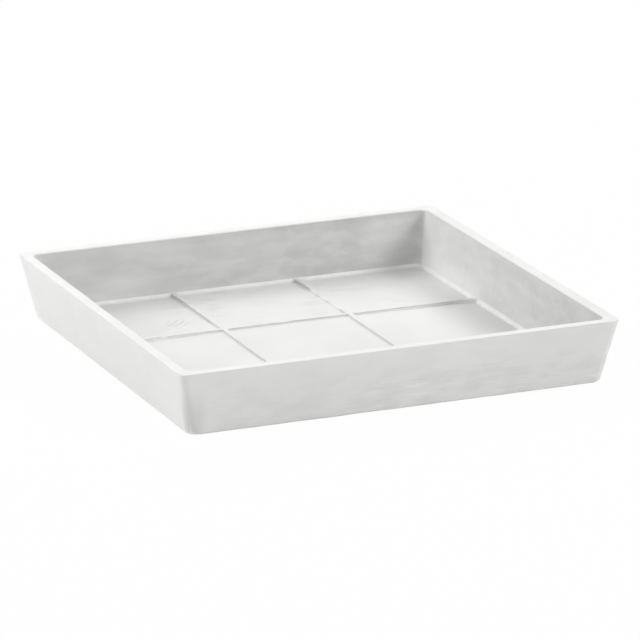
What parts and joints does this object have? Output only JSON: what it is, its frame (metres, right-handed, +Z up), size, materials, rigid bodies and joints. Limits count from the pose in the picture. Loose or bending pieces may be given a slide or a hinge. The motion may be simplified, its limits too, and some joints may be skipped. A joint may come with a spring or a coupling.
{
  "type": "plant saucer",
  "caption": "Square drip tray for a plant pot: leaning walls with a thick flat rim, low crossing ribs on a crowned floor, glued pads underneath.",
  "frame": {"origin": "on the ground under the middle of the tray, level with the undersides of the pads", "axes": "+Z up; +X and +Y along the sides, -Y towards the side that the picture shows in front"},
  "size_m": [0.2998, 0.2998, 0.0442],
  "materials": {
    "cast_composite": "matte",
    "pad_rubber": "matte"
  },
  "bodies": {
    "root": {"tray": "cast_composite", "pad_front_left": "pad_rubber", "pad_front_right": "pad_rubber", "pad_rear_left": "pad_rubber", "pad_rear_right": "pad_rubber"}
  },
  "joints": []
}
